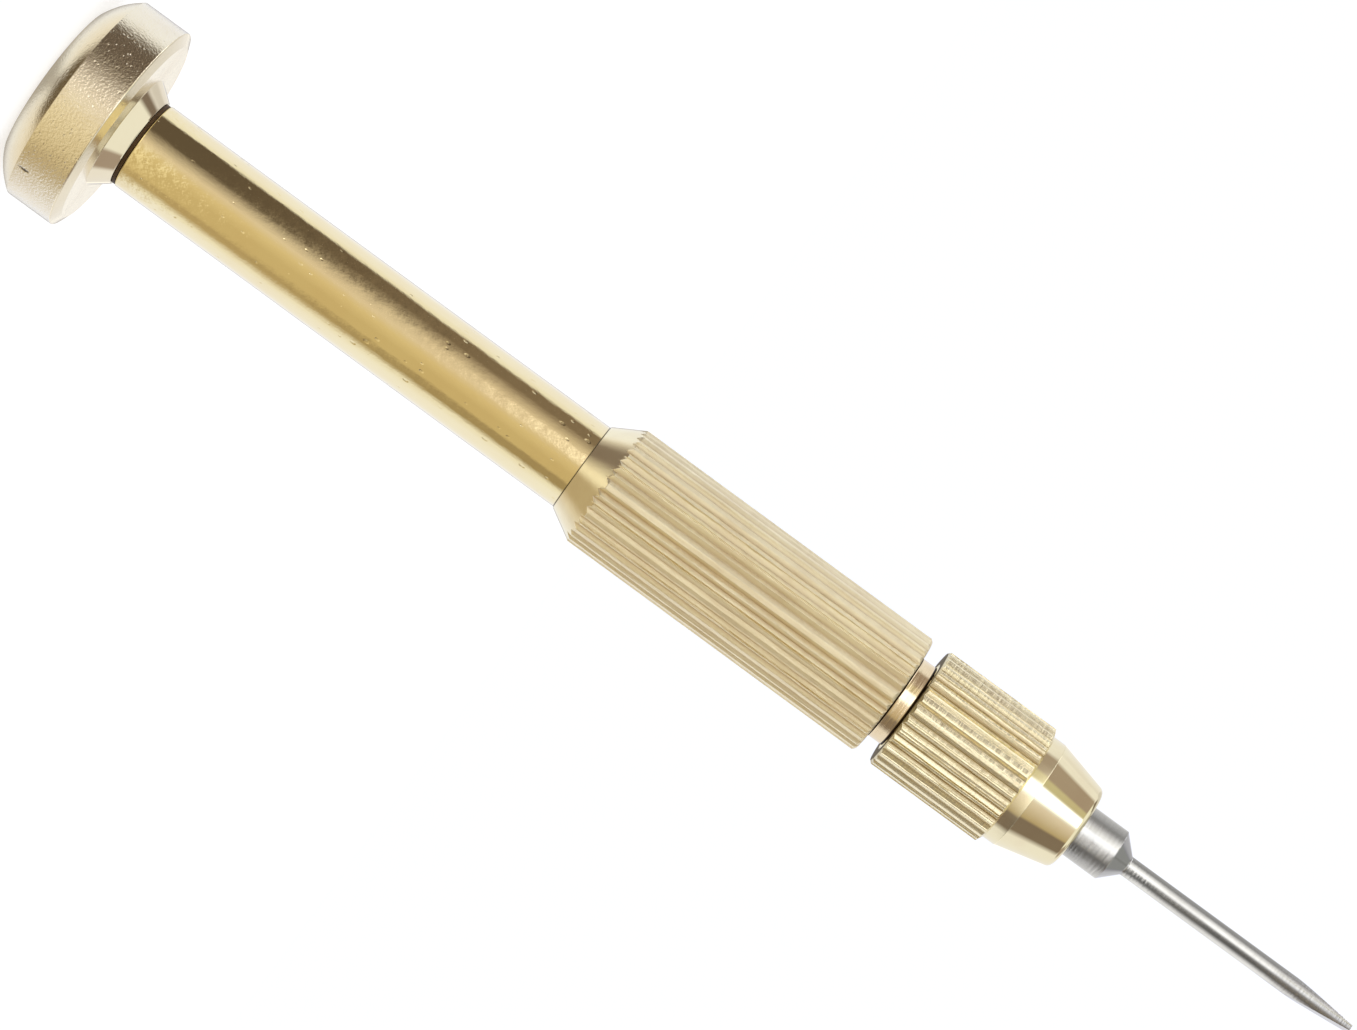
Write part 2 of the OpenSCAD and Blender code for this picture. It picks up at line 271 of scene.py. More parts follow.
def floorMaterial(look):
    material, tree = newMaterial("floor")
    shader = tree.nodes["Principled BSDF"]
    for name, value in {
        "Base Color": look["floorColour"], "Roughness": look["floorRoughness"],
        "Specular IOR Level": 0.0, "Emission Color": (1, 1, 1, 1),
    }.items():
        shader.inputs[name].default_value = value
    seen = addNode(tree, "ShaderNodeLightPath").outputs["Is Camera Ray"]
    tree.links.new(maths(tree, "MULTIPLY", seen, look["floorGlow"]), shader.inputs["Emission Strength"])
    return material


def makeStudio(look):
    world = bpy.data.worlds.new("studio")
    scene.world = world
    world.use_nodes = True
    world.node_tree.nodes["Background"].inputs["Color"].default_value = look["white"]

    around = look["segments"]
    ball = bmesh.new()
    bmesh.ops.create_uvsphere(ball, u_segments=around, v_segments=around // 2, radius=look["tentRadius"])
    bmesh.ops.reverse_faces(ball, faces=ball.faces)
    tent = stageObject("tent", ball, tentMaterial(look))
    tent.visible_camera = False
    tent.visible_shadow = False

    disc = bmesh.new()
    bmesh.ops.create_circle(disc, cap_ends=True, segments=around, radius=look["floorRadius"])
    floor = stageObject("floor", disc, floorMaterial(look))
    floor.visible_glossy = False


def stageObject(name, shape, material):
    mesh = bpy.data.meshes.new(name)
    shape.to_mesh(mesh)
    shape.free()
    mesh.materials.append(material)
    thing = bpy.data.objects.new(name, mesh)
    scene.collection.objects.link(thing)
    return thing


makeCamera(cameraLook)
makeStudio(studio)
scene.view_settings.view_transform = "Standard"
print("stage 1: camera and studio are up")


# The lathe: a node tree that turns an outline round Z and cuts a knurl and a thread into it.
# An outline is a ring of vertices at (radius, 0, height), each with polish, and with a value from 0 to 1
# for dirt and painted shade in the joints.

latheInputs = {
    "Outline": "Geometry", "Segments": "Int",
    "Knurl Start": "Float", "Knurl End": "Float", "Knurl Radius": "Float",
    "Start Edge": "Float", "Start Run": "Float", "End Edge": "Float", "End Run": "Float",
    "Teeth": "Int", "Groove Depth": "Float", "Groove Width": "Float", "Groove Floor": "Float",
    "Wander": "Float", "Waver": "Float", "Second Track": "Float", "Seed": "Int",
    "Thread Start": "Float", "Thread End": "Float", "Thread Pitch": "Float", "Thread Depth": "Float",
    "Scale": "Float", "Finish": "Material",
}
latheDefaults = {
    **{name: 0.0 for name, kind in latheInputs.items() if kind == "Float"},
    "Segments": 256, "Knurl Radius": 1.0, "Teeth": 34, "Groove Width": 0.4, "Groove Floor": 0.1,
    "Seed": 1, "Thread Pitch": 1.0, "Scale": millimetre,
}

edgeTolerance = 1e-4        # mm
mergeDistance = 1e-6        # metres

# How the grooves differ one by one; places and widths of the track are shares of the pitch
knurlVariety = {
    "width": (0.75, 1.1),           # times the groove's width
    "depth": (0.5, 1.0),            # times its depth
    "trackPlace": (0.26, 0.42),     # from the groove to the second track
    "trackEdges": (0.01, 0.09),
    "trackDepth": (-0.1, 1.0),      # below 0 there is no track
    "trackWaver": 4.0,              # how much the waver deepens the track
    "waverScale": 0.9,              # per mm of height
    "waverApart": 7.3,              # between neighbours in the noise
}


def buildLathe():
    tree, given, result = newGroup("lathe", "GeometryNodeTree", latheInputs, {"Piece": "Geometry"})

    def between(value, low, high):
        above = maths(tree, "GREATER_THAN", value, maths(tree, "SUBTRACT", low, edgeTolerance))
        below = maths(tree, "LESS_THAN", value, maths(tree, "ADD", high, edgeTolerance))
        return maths(tree, "MULTIPLY", above, below)

    def chance(number, low, high, shift):
        seed = maths(tree, "ADD", given["Seed"], shift)
        inputs = {2: low, 3: high, 7: number, 8: seed}
        return addNode(tree, "FunctionNodeRandomValue", inputs, data_type="FLOAT").outputs[1]

    # A flat grid with a column for each step round the axis and a row for each outline point
    count = addNode(tree, "GeometryNodeAttributeDomainSize", {0: given["Outline"]}).outputs["Point Count"]
    columns, rows = maths(tree, "ADD", given["Segments"], 1.0), maths(tree, "ADD", count, 1.0)
    grid = addNode(tree, "GeometryNodeMeshGrid", {
        "Size X": given["Segments"], "Size Y": count, "Vertices X": columns, "Vertices Y": rows,
    }).outputs["Mesh"]
    spot = addNode(tree, "GeometryNodeInputPosition").outputs[0]
    sideways, upwards, _ = addNode(tree, "ShaderNodeSeparateXYZ", {0: spot}).outputs
    column = maths(tree, "ROUND", maths(tree, "MULTIPLY_ADD", given["Segments"], 0.5, sideways))
    row = maths(tree, "ROUND", maths(tree, "MULTIPLY_ADD", count, 0.5, upwards))
    row = maths(tree, "MODULO", row, count)
    angle = maths(tree, "MULTIPLY", maths(tree, "DIVIDE", column, given["Segments"]), math.tau)

    # Radius, height, polish and joint darkening (dirt and painted shade) of the outline point in this row
    def fromOutline(value, kind):
        inputs = {"Geometry": given["Outline"], "Value": value, "Index": row}
        return addNode(tree, "GeometryNodeSampleIndex", inputs, data_type=kind).outputs[0]

    def readOutline(name):
        named = addNode(tree, "GeometryNodeInputNamedAttribute", {"Name": name}, data_type="FLOAT")
        return fromOutline(named.outputs["Attribute"], "FLOAT")

    point = fromOutline(addNode(tree, "GeometryNodeInputPosition").outputs[0], "FLOAT_VECTOR")
    radius, _, height = addNode(tree, "ShaderNodeSeparateXYZ", {0: point}).outputs

    # Knurl: the nearest groove, a little off its place, with its own depth and a second fine track
    turnShare = maths(tree, "MULTIPLY", maths(tree, "DIVIDE", angle, math.tau), given["Teeth"])
    nearest = maths(tree, "ROUND", turnShare)
    number = maths(tree, "MODULO", nearest, given["Teeth"])
    offset = maths(tree, "SUBTRACT", turnShare, nearest)
    wander = maths(tree, "MULTIPLY", chance(number, -1.0, 1.0, 0.0), given["Wander"])
    apart = maths(tree, "MULTIPLY", number, knurlVariety["waverApart"])
    along = addNode(tree, "ShaderNodeCombineXYZ", {0: apart, 1: given["Seed"], 2: height}).outputs[0]
    waver = addNode(tree, "ShaderNodeTexNoise", {
        "Vector": along, "Scale": knurlVariety["waverScale"], "Detail": 1.0,
    }).outputs[0]
    waver = maths(tree, "MULTIPLY", maths(tree, "SUBTRACT", waver, 0.5), given["Waver"])
    offset = maths(tree, "SUBTRACT", offset, waver)
    away = maths(tree, "ABSOLUTE", maths(tree, "SUBTRACT", offset, wander))
    half = maths(tree, "MULTIPLY", given["Groove Width"], 0.5)
    ownHalf = maths(tree, "MULTIPLY", half, chance(number, *knurlVariety["width"], 5.0))
    floor = maths(tree, "MULTIPLY", given["Groove Floor"], 0.5)
    groove = addNode(tree, "ShaderNodeMapRange", {0: away, 1: floor, 2: ownHalf, 3: 1.0, 4: 0.0}).outputs[0]
    groove = maths(tree, "MULTIPLY", groove, chance(number, *knurlVariety["depth"], 1.0))
    side = maths(tree, "SIGN", chance(number, -1.0, 1.0, 2.0))
    trackPlace = maths(tree, "MULTIPLY", side, chance(number, *knurlVariety["trackPlace"], 3.0))
    trackAway = maths(tree, "ABSOLUTE", maths(tree, "SUBTRACT", offset, trackPlace))
    track = ease(tree, trackAway, *knurlVariety["trackEdges"], 1.0, 0.0)
    trackDepth = chance(number, *knurlVariety["trackDepth"], 4.0)
    trackDepth = maths(tree, "MULTIPLY", trackDepth, given["Second Track"])
    trackDepth = maths(tree, "MULTIPLY_ADD", waver, knurlVariety["trackWaver"], trackDepth)
    track = maths(tree, "MULTIPLY", track, maths(tree, "MAXIMUM", trackDepth, 0.0))
    groove = maths(tree, "MAXIMUM", groove, track)
    inKnurl = between(height, given["Knurl Start"], given["Knurl End"])
    grooveDepth = maths(tree, "MULTIPLY", groove, given["Groove Depth"])
    grooveRadius = maths(tree, "SUBTRACT", given["Knurl Radius"], grooveDepth)
    cut = maths(tree, "MAXIMUM", maths(tree, "SUBTRACT", radius, grooveRadius), 0.0)
    cut = maths(tree, "MULTIPLY", cut, inKnurl)

    # On a chamfer the cut slides along the slope, which gives the scalloped edge its true shape
    def slide(onChamfer, run, room):
        shift = maths(tree, "MULTIPLY", maths(tree, "MULTIPLY", onChamfer, run), cut)
        return maths(tree, "MINIMUM", shift, maths(tree, "MAXIMUM", room, 0.0))

    early = maths(tree, "LESS_THAN", height, maths(tree, "ADD", given["Start Edge"], edgeTolerance))
    late = maths(tree, "GREATER_THAN", height, maths(tree, "SUBTRACT", given["End Edge"], edgeTolerance))
    back = slide(early, given["Start Run"], maths(tree, "SUBTRACT", height, given["Knurl Start"]))
    ahead = slide(late, given["End Run"], maths(tree, "SUBTRACT", given["Knurl End"], height))
    newHeight = maths(tree, "ADD", maths(tree, "SUBTRACT", height, back), ahead)

    # Thread: a rounded wave along the axis that climbs one pitch each turn
    climb = maths(tree, "SUBTRACT", maths(tree, "DIVIDE", height, given["Thread Pitch"]),
                  maths(tree, "DIVIDE", angle, math.tau))
    wave = maths(tree, "ABSOLUTE", maths(tree, "MULTIPLY_ADD", maths(tree, "FRACT", climb), 2.0, -1.0))
    inThread = between(height, given["Thread Start"], given["Thread End"])
    threadCut = maths(tree, "MULTIPLY", ease(tree, wave, 0.1, 0.9), given["Thread Depth"])
    newRadius = maths(tree, "SUBTRACT", radius, cut)
    newRadius = maths(tree, "SUBTRACT", newRadius, maths(tree, "MULTIPLY", threadCut, inThread))

    across = maths(tree, "MULTIPLY", newRadius, maths(tree, "COSINE", angle))
    deep = maths(tree, "MULTIPLY", newRadius, maths(tree, "SINE", angle))
    turned = addNode(tree, "ShaderNodeCombineXYZ", {0: across, 1: deep, 2: newHeight}).outputs[0]
    inputs = {0: turned, "Scale": given["Scale"]}
    placed = addNode(tree, "ShaderNodeVectorMath", inputs, operation="SCALE").outputs[0]
    depth = maths(tree, "DIVIDE", cut, maths(tree, "MAXIMUM", given["Groove Depth"], 0.001))
    shape = grid
    # The third layer darkens the joints with dirt and painted shade
    layers = {"groove": depth, "polish": readOutline("polish"), "grimeAndShade": readOutline("grimeAndShade")}
    for name, value in layers.items():
        shape = addNode(tree, "GeometryNodeStoreNamedAttribute", {
            "Geometry": shape, "Name": name, "Value": value,
        }, data_type="FLOAT", domain="POINT").outputs[0]
    steps = {
        "SetPosition": {"Position": placed}, "MergeByDistance": {"Distance": mergeDistance},
        "SetShadeSmooth": {}, "RealizeInstances": {}, "SetMaterial": {"Material": given["Finish"]},
    }
    for step, inputs in steps.items():
        shape = addNode(tree, "GeometryNode" + step, {"Geometry": shape, **inputs}).outputs[0]
    tree.links.new(shape, result["Piece"])
    return tree


lathe = buildLathe()


# Outlines: corners with their rounding, and arcs

supportWidth = 0.02     # mm, keeps the shading of a small rounding out of the long faces


def at(radius, height, rounding=0.0, polish=0.0, rows=1, grimeAndShade=0.0):
    # polish, joint darkening (dirt and painted shade) and rows belong to the stretch that leaves this point
    look = Vector((polish, grimeAndShade))
    return {"place": Vector((radius, height)), "rounding": rounding, "look": look, "rows": rows}


def arc(start, end, radius, side, polish, steps=10):
    # Points of an arc between two places; its centre is left of the chord at side 1, right at -1
    start, end = Vector(start), Vector(end)
    chord = end - start
    left = Vector((-chord.y, chord.x)).normalized()
    centre = (start + end) / 2 + left * side * math.sqrt(radius ** 2 - chord.length_squared / 4)
    first = start - centre
    sweep = first.angle_signed(end - centre)
    points = []
    for step in range(1, steps):
        turn = -sweep * step / steps
        spoke = Matrix.Rotation(turn, 2) @ first
        points.append(at(centre.x + spoke.x, centre.y + spoke.y, polish=polish))
    return points


def roundCorner(before, here, after, steps=4):
    place, rounding = here["place"], here["rounding"]
    if place.x < 1e-6:
        return [(place, here["look"])]
    back, ahead = (before["place"] - place), (after["place"] - place)
    if rounding <= 0:
        if before["look"] == here["look"]:
            return [(place, here["look"])]
        width = min(supportWidth, back.length / 3, ahead.length / 3)
        return [
            (place + back.normalized() * width, before["look"]), (place, here["look"]),
            (place + ahead.normalized() * width, here["look"]),
        ]
    back.normalize()
    ahead.normalize()
    half = back.angle(ahead) / 2
    reach = rounding / math.tan(half)
    centre = place + (back + ahead).normalized() * rounding / math.sin(half)
    first, last = place + back * reach - centre, place + ahead * reach - centre
    sweep = first.angle_signed(last)
    points = [(place + back * (reach + supportWidth), before["look"])]
    for step in range(steps + 1):
        share = step / steps
        spoke = Matrix.Rotation(-sweep * share, 2) @ first
        points.append((centre + spoke, before["look"].lerp(here["look"], share)))
    points.append((place + ahead * (reach + supportWidth), here["look"]))
    return points


def drawOutline(name, corners):
    # A mesh of the outline's vertices, with roundings, rows, polish and joint darkening of dirt and painted
    # shade
    points = []
    for index, here in enumerate(corners):
        after = corners[(index + 1) % len(corners)]
        points += roundCorner(corners[index - 1], here, after)
        following = roundCorner(here, after, corners[(index + 2) % len(corners)])[0][0]
        start = points[-1][0]
        for row in range(1, here["rows"]):
            points.append((start.lerp(following, row / here["rows"]), here["look"]))
    mesh = bpy.data.meshes.new(name)
    mesh.from_pydata([(place.x, 0, place.y) for place, _ in points], [], [])
    for part, label in enumerate(("polish", "grimeAndShade")):
        attribute = mesh.attributes.new(label, "FLOAT", "POINT")
        attribute.data.foreach_set("value", [look[part] for _, look in points])
    return mesh


def turnPiece(name, node, body, slot, material, corners, sharp=40, **cuts):
    # Runs the lathe on an outline and puts the piece in its CAD node's place. Edges that turn by
    # more than sharp, in degrees, stay sharp.
    piece = bpy.data.objects.new(name, drawOutline(name + "Outline", corners))
    scene.collection.objects.link(piece)
    modifier = piece.modifiers.new("lathe", "NODES")
    modifier.node_group = lathe
    values = {**latheDefaults, **{words.replace("_", " "): value for words, value in cuts.items()}}
    values["Finish"] = material
    for socket in lathe.interface.items_tree:
        if socket.in_out == "INPUT" and socket.name in values:
            modifier[socket.identifier] = values[socket.name]
    graph = bpy.context.evaluated_depsgraph_get()
    mesh = bpy.data.meshes.new_from_object(
        piece.evaluated_get(graph), preserve_all_data_layers=True, depsgraph=graph,
    )
    piece.modifiers.clear()
    piece.data = mesh
    mesh.name = name
    shape = bmesh.new()
    shape.from_mesh(mesh)
    loose = [edge for edge in shape.edges if not edge.link_faces]
    bmesh.ops.delete(shape, geom=loose, context="EDGES")
    bmesh.ops.recalc_face_normals(shape, faces=shape.faces)
    shape.to_mesh(mesh)
    shape.free()
    mesh.set_sharp_from_angle(angle=math.radians(sharp))
    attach(piece, body)
    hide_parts(node)
    print("  turned", name, "with", len(mesh.polygons), "faces")
    return piece


# Shader groups that several finishes share

def stretched(tree, given):
    inputs = {0: given["Vector"], 1: given["Stretch"]}
    return addNode(tree, "ShaderNodeVectorMath", inputs, operation="MULTIPLY").outputs[0]


def buildToolMarks():
    # Fine lines or grains, as a height from 0 to 1; a large stretch along an axis packs them there
    tree, given, result = newGroup("toolMarks", "ShaderNodeTree", {
        "Vector": "Vector", "Stretch": "Vector", "Scale": "Float", "Contrast": "Float",
    }, {"Height": "Float"})
    noise = addNode(tree, "ShaderNodeTexNoise", {
        "Vector": stretched(tree, given), "Scale": given["Scale"], "Detail": 3.0, "Roughness": 0.6,
    })
    centred = maths(tree, "SUBTRACT", noise.outputs[0], 0.5)
    tree.links.new(maths(tree, "MULTIPLY_ADD", centred, given["Contrast"], 0.5), result["Height"])
    return tree


def buildTarnish():
    # Clean metal that goes over to a stained colour in soft clouds
    tree, given, result = newGroup("tarnish", "ShaderNodeTree", {
        "Vector": "Vector", "Scale": "Float", "Amount": "Float", "Clean": "Color", "Stained": "Color",
    }, {"Color": "Color", "Mask": "Float"})
    noise = addNode(tree, "ShaderNodeTexNoise", {
        "Vector": given["Vector"], "Scale": given["Scale"], "Detail": 4.0, "Roughness": 0.65,
    })
    mask = maths(tree, "MULTIPLY", ease(tree, noise.outputs[0], 0.35, 0.75), given["Amount"])
    tree.links.new(mixColour(tree, mask, given["Clean"], given["Stained"]), result["Color"])
    tree.links.new(mask, result["Mask"])
    return tree


def buildPits():
    # Small dents of different sizes, only in some of the cells; 1 inside a dent
    tree, given, result = newGroup("pits", "ShaderNodeTree", {
        "Vector": "Vector", "Stretch": "Vector", "Scale": "Float", "Share": "Float", "Size": "Float",
    }, {"Mask": "Float"})
    cells = addNode(tree, "ShaderNodeTexVoronoi", {
        "Vector": stretched(tree, given), "Scale": given["Scale"],
    })
    luck, size, _ = addNode(tree, "ShaderNodeSeparateColor", {0: cells.outputs["Color"]}).outputs
    dented = maths(tree, "LESS_THAN", luck, given["Share"])
    reach = maths(tree, "MULTIPLY", given["Size"], maths(tree, "MULTIPLY_ADD", size, 0.7, 0.3))
    dent = ease(tree, cells.outputs["Distance"], maths(tree, "MULTIPLY", reach, 0.4), reach, 1.0, 0.0)
    tree.links.new(maths(tree, "MULTIPLY", dent, dented), result["Mask"])
    return tree


toolMarks, tarnish, pits = buildToolMarks(), buildTarnish(), buildPits()


def placeGroup(tree, group, inputs):
    return addNode(tree, "ShaderNodeGroup", inputs, node_tree=group).outputs


def stainOver(tree, place, look):
    return placeGroup(tree, tarnish, {
        "Vector": place, "Scale": look["stainScale"], "Amount": look["stainAmount"],
        "Clean": look["clean"], "Stained": look["stained"],
    })


def marksOver(tree, place, look, kind, contrast=1.5):
    return placeGroup(tree, toolMarks, {
        "Vector": place, "Stretch": look[kind + "Stretch"], "Scale": look[kind + "Scale"],
        "Contrast": contrast,
    })["Height"]


def pitsOver(tree, place, look, kind):
    return placeGroup(tree, pits, {
        "Vector": place, "Stretch": look[kind + "Stretch"], "Scale": look[kind + "Scale"],
        "Share": look[kind + "Share"], "Size": look[kind + "Size"],
    })["Mask"]


def startMetal(name):
    material, tree = newMaterial(name)
    shader = tree.nodes["Principled BSDF"]
    shader.inputs["Metallic"].default_value = 1.0
    place = addNode(tree, "ShaderNodeTexCoord").outputs["Object"]
    return material, tree, shader, place


def readAttribute(tree, name):
    node = addNode(tree, "ShaderNodeAttribute", attribute_type="GEOMETRY", attribute_name=name)
    return node.outputs["Fac"]


# Dark brown of dirt and painted shade in the joints; the head's nick uses it too
grimeAndShadeColour = (0.040, 0.023, 0.009, 1)
grimeAndShadeRoughness = 0.35       # added to the metal's


def metalWithGrimeAndShade(tree, shader, colour, rough):
    # Colour and roughness of the metal, darkened in the joints by dirt and painted shade where the outline
    # has it
    grimeAndShade = readAttribute(tree, "grimeAndShade")
    tree.links.new(mixColour(tree, grimeAndShade, colour, grimeAndShadeColour), shader.inputs["Base Color"])
    rough = maths(tree, "MULTIPLY_ADD", grimeAndShade, grimeAndShadeRoughness, rough)
    tree.links.new(rough, shader.inputs["Roughness"])


def bump(tree, shader, height, distance, normal=None):
    # distance in millimetres
    inputs = {"Height": height, "Distance": distance * millimetre}
    if normal is not None:
        inputs["Normal"] = normal
    node = addNode(tree, "ShaderNodeBump", inputs)
    tree.links.new(node.outputs[0], shader.inputs["Normal"])
    return node.outputs[0]


# Head: blasted band, satin crown, polished chamfer and neck

headFinish = {
    "clean": (0.88, 0.785, 0.57, 1),
    "stained": (0.78, 0.655, 0.44, 1),
    "stainScale": 260.0,        # per metre
    "stainAmount": 0.5,
    "stainRoughness": 0.06,
    "roughness": (0.10, 0.06),  # blasted, polished
    "satin": 0.12,              # added halfway between the two
    "grainStretch": (1, 1, 1),
    "grainScale": 6800.0,       # per metre
    "grainDepth": 0.010,        # mm
    "pitStretch": (1, 1, 1),
    "pitScale": 4200.0,
    "pitShare": 0.4,
    "pitSize": 0.45,            # of a cell
    "pitDepth": 0.008,          # mm
    "nickPlace": (4.78, -4.26, 2.06),       # mm
    "nickReach": (0.13, 0.13, 0.46),        # mm
    "nickCore": 0.35,           # share of the reach that is fully dark
    "nickDark": 0.85,
    "frayAmount": 1.6,          # of the reach
    "frayScale": 9000.0,        # per metre
    "nickDepth": 0.03,          # mm
}


def makeHeadFinish(look):
    material, tree, shader, place = startMetal("satinBrass")
    polish = readAttribute(tree, "polish")
    stain = stainOver(tree, place, look)
    grain = marksOver(tree, place, look, "grain", 1.8)
    blasted, polished = look["roughness"]
    rough = maths(tree, "MULTIPLY_ADD", polish, polished - blasted, blasted)
    rough = maths(tree, "ADD", rough, maths(tree, "MULTIPLY", stain["Mask"], look["stainRoughness"]))
    satin = maths(tree, "SUBTRACT", 1.0, polish)
    halfway = maths(tree, "MULTIPLY", maths(tree, "MULTIPLY", satin, polish), 4.0)
    nick = nickMask(tree, place, look)
    dark = maths(tree, "MULTIPLY", nick, look["nickDark"])
    colour = mixColour(tree, dark, stain["Color"], grimeAndShadeColour)
    metalWithGrimeAndShade(tree, shader, colour, maths(tree, "MULTIPLY_ADD", halfway, look["satin"], rough))
    dents = pitsOver(tree, place, look, "pit")
    marks = bump(tree, shader, maths(tree, "MULTIPLY", grain, satin), look["grainDepth"])
    flat = maths(tree, "MULTIPLY", maths(tree, "SUBTRACT", 1.0, dents), satin)
    marks = bump(tree, shader, flat, look["pitDepth"], marks)
    bump(tree, shader, maths(tree, "SUBTRACT", 1.0, nick), look["nickDepth"], marks)
    return material


def nickMask(tree, place, look):
    # One small dark nick in the band
    centre = [value * millimetre for value in look["nickPlace"]]
    reach = [value * millimetre for value in look["nickReach"]]
    away = addNode(tree, "ShaderNodeVectorMath", {0: place, 1: centre}, operation="SUBTRACT").outputs[0]
    shares = addNode(tree, "ShaderNodeVectorMath", {0: away, 1: reach}, operation="DIVIDE").outputs[0]
    noise = addNode(tree, "ShaderNodeTexNoise", {"Vector": place, "Scale": look["frayScale"]}).outputs[0]
    distance = addNode(tree, "ShaderNodeVectorMath", {0: shares}, operation="LENGTH").outputs["Value"]
    fray = maths(tree, "MULTIPLY_ADD", noise, look["frayAmount"], -look["frayAmount"] / 2)
    return ease(tree, maths(tree, "ADD", distance, fray), look["nickCore"], 1.0, 1.0, 0.0)


headSizes = {
    "rim": 4.6, "dishMouth": 4.3, "dishDepth": 1.0,
    "crownHeight": 1.5, "crownArc": 4.5,
    "chamferWidth": 0.7, "chamferHeight": 0.3,
    "neckBase": 3.5, "neckEnd": 2.75, "neckHeight": 1.0, "neckBreak": 0.05,
    "pinHole": 1.01, "pinSeat": 3.2,
}


def makeHead(size):
    _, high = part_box("finger_head")
    band, top = high.x / millimetre, high.z / millimetre
    face = top - size["neckHeight"]
    dishArc = (size["dishMouth"] ** 2 + size["dishDepth"] ** 2) / (2 * size["dishDepth"])
    corners = [at(0, size["dishDepth"], polish=0.4)]
    corners += arc((0, size["dishDepth"]), (size["dishMouth"], 0), dishArc, -1, 0.4)
    corners += [at(size["dishMouth"], 0, 0.04, 0.5), at(size["rim"], 0, 0.0, 0.5)]
    corners += arc((size["rim"], 0), (band, size["crownHeight"]), size["crownArc"], 1, 0.45, 16)
    corners += [
        at(band, size["crownHeight"], 0.06, 0.0, rows=6),
        at(band, face - size["chamferHeight"], 0.10, 0.7),
        at(band - size["chamferWidth"], face, 0.10, 0.6),
        at(size["neckBase"], face, 0.04, 1.0),
        at(size["neckEnd"], top - size["neckBreak"], 0.03, 1.0),
        # Dirt and painted shade on the neck's end, at the swivel gap
        at(size["neckEnd"] - size["neckBreak"], top, 0.02, 0.5, grimeAndShade=0.2),
        at(size["pinHole"], top, polish=0.5),
        at(size["pinHole"], top - size["pinSeat"], polish=0.5),
        at(0, top - size["pinSeat"], polish=0.5),
    ]
    finish = makeHeadFinish(headFinish)
    return turnPiece("headTurned", "finger_head", "head", "satin_brass", finish, corners)


# Barrel: polished tube with fine scratches along it and a few specks

barrelFinish = {
    "clean": (0.88, 0.74, 0.41, 1),
    "stained": (0.82, 0.64, 0.34, 1),
    "stainScale": 180.0,
    "stainAmount": 0.35,
    "stainRoughness": 0.07,
    "roughness": 0.05,
    "scratchStretch": (1.0, 1.0, 0.03),
    "scratchScale": 5200.0,
    "scratchDepth": 0.0009,     # mm
    "waveStretch": (1.0, 1.0, 0.5),
    "waveScale": 2000.0,
    "waveDepth": 0.009,         # mm
    "speckStretch": (1.0, 1.0, 0.5),
    "speckScale": 2200.0,
    "speckShare": 0.55,
    "speckSize": 0.28,          # of a cell
    "speckRoughness": 0.15,
    "speckDepth": 0.008,        # mm
    # The barrel darkens here with dirt and painted shade at the joint
    "jointGrimeAndShade": 0.05,         # mm of the barrel before the grip
}


def makeBarrelFinish(look):
    material, tree, shader, place = startMetal("polishedBrass")
    stain = stainOver(tree, place, look)
    lines = marksOver(tree, place, look, "scratch")
    specks = pitsOver(tree, place, look, "speck")
    waves = marksOver(tree, place, look, "wave", 1.0)
    rough = maths(tree, "MULTIPLY_ADD", stain["Mask"], look["stainRoughness"], look["roughness"])
    rough = maths(tree, "ADD", rough, maths(tree, "MULTIPLY", specks, look["speckRoughness"]))
    metalWithGrimeAndShade(tree, shader, stain["Color"], rough)
    marks = bump(tree, shader, waves, look["waveDepth"], bump(tree, shader, lines, look["scratchDepth"]))
    bump(tree, shader, maths(tree, "SUBTRACT", 1.0, specks), look["speckDepth"], marks)
    return material


barrelSizes = {
    "bore": 2.0, "edgeRounding": 0.08, "socketLength": 10.0,
    "polishEnd": 0.1,       # mm inside the grip
}


def makeBarrel(size):
    low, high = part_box("barrel")
    radius, start, end = high.x / millimetre, low.z / millimetre, high.z / millimetre
    joint = end - size["socketLength"]
    corners = [
        # Dirt and painted shade darken the start face at the swivel gap and the joint with the grip
        at(size["bore"], end, polish=0.5), at(size["bore"], start, polish=0.5, grimeAndShade=0.4),
        at(radius, start, size["edgeRounding"], 1.0, rows=4),
        at(radius, joint - barrelFinish["jointGrimeAndShade"], polish=1.0, grimeAndShade=0.8),
        at(radius, joint + size["polishEnd"], polish=0.5),
        at(radius, end, polish=0.5),
    ]
    finish = makeBarrelFinish(barrelFinish)
    return turnPiece("barrelTurned", "barrel", "handle", "polished_brass", finish, corners)


# Grip and nut: straight knurl, satin crests and darker grooves

gripFinish = {
    "clean": (0.93, 0.83, 0.57, 1),
    "stained": (0.82, 0.69, 0.46, 1),
    "groove": (0.70, 0.57, 0.36, 1),
    "stainScale": 400.0,
    "stainAmount": 0.5,
    "roughness": (0.44, 0.05),      # knurled, polished
    "dirtyFrom": 0.25,              # share of the groove's depth
    "dirtyRoughness": 0.1,
    "lengthStretch": (1.0, 1.0, 0.05),
    "lengthScale": 4800.0,
    "lengthDepth": 0.028,           # mm
    "crossStretch": (0.08, 0.08, 1.0),
    "crossScale": 4200.0,
    "crossDepth": 0.008,            # mm
}

nutFinish = {
    **gripFinish,
    "clean": (0.90, 0.81, 0.54, 1), "groove": (0.48, 0.36, 0.18, 1), "roughness": (0.24, 0.04),
    "lengthDepth": 0.016, "crossScale": 2800.0, "crossDepth": 0.011,
}


